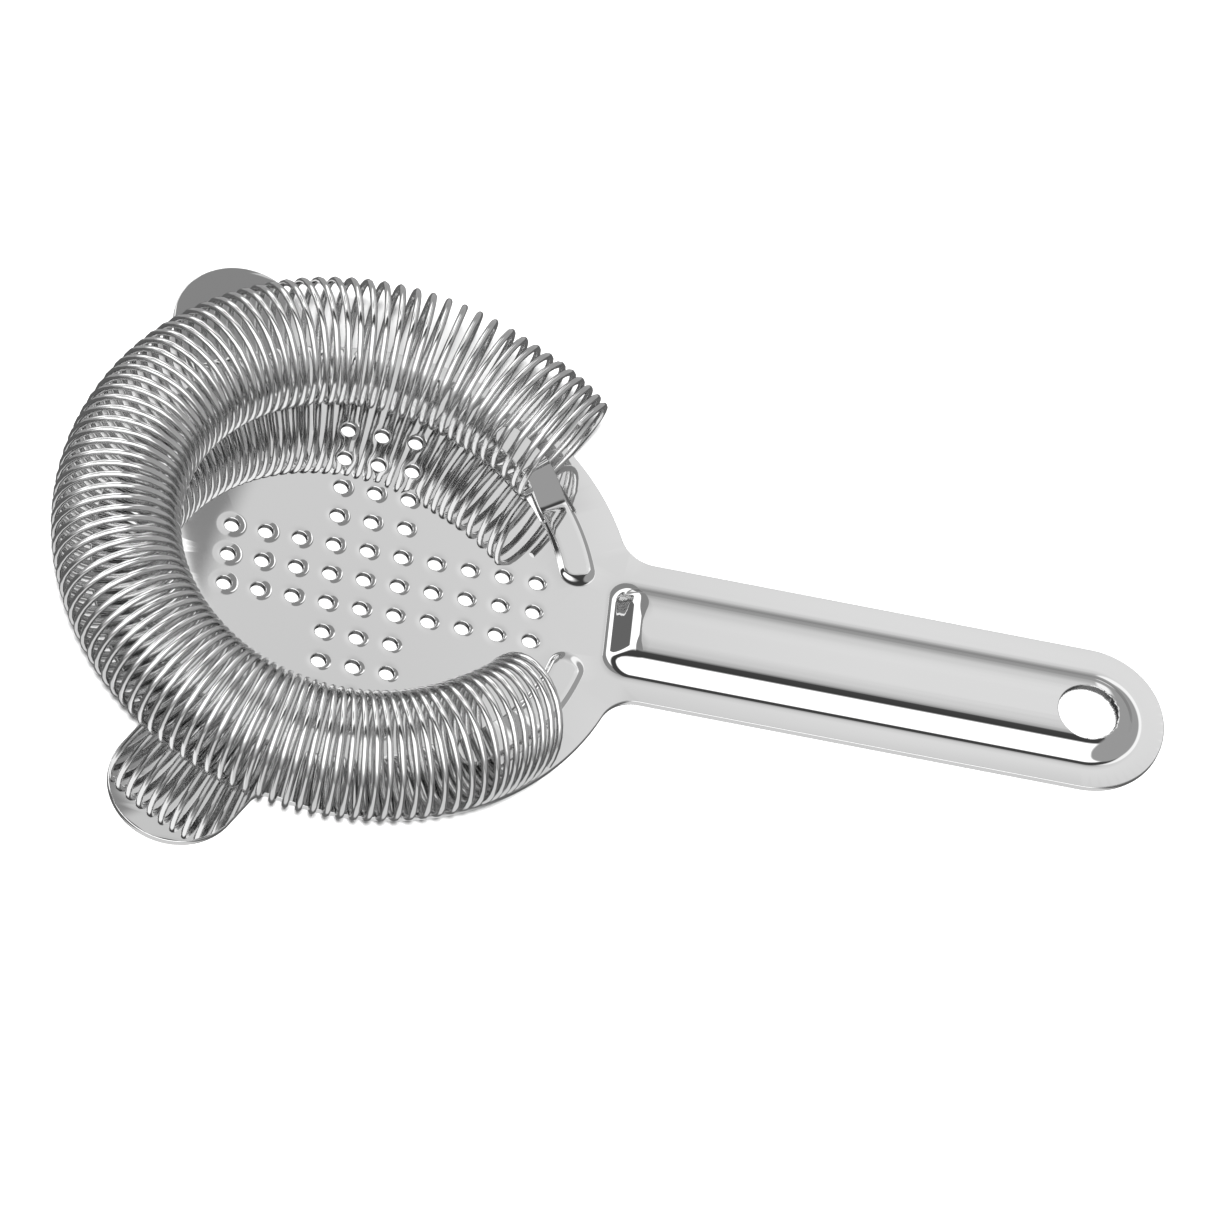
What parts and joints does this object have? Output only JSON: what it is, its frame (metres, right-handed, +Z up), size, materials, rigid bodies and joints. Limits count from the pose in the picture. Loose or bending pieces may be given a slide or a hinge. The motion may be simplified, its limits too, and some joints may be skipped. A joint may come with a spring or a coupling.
{
  "type": "hawthorne strainer",
  "caption": "Bar strainer with a perforated round plate, resting ears, a ribbed handle with a hanging hole, and a coil spring loop held on lugs.",
  "frame": {"origin": "under the middle of the whole strainer, on the surface that the flat plate lies on", "axes": "+X along the handle, towards its hanging hole; +Y across the strainer; +Z up, from the plate towards the spring"},
  "size_m": [0.166, 0.0988, 0.02],
  "materials": {
    "polished_sheet": "mirror-polished stainless sheet",
    "spring_wire": "bright drawn stainless wire"
  },
  "bodies": {
    "plate": {"strainer_plate": "polished_sheet"},
    "spring": {"spring_coils_01": "spring_wire", "spring_coils_02": "spring_wire", "spring_coils_03": "spring_wire", "spring_coils_04": "spring_wire", "spring_coils_05": "spring_wire", "spring_coils_06": "spring_wire", "spring_coils_07": "spring_wire", "spring_coils_08": "spring_wire", "spring_coils_09": "spring_wire", "spring_coils_10": "spring_wire", "spring_coils_11": "spring_wire"}
  },
  "joints": [
    {"name": "spring_squeeze", "type": "slide", "parent": "plate", "child": "spring", "axis": [1, 0, 0], "range_m": [0, 0.0025], "stiffness_N_per_m": 500}
  ]
}
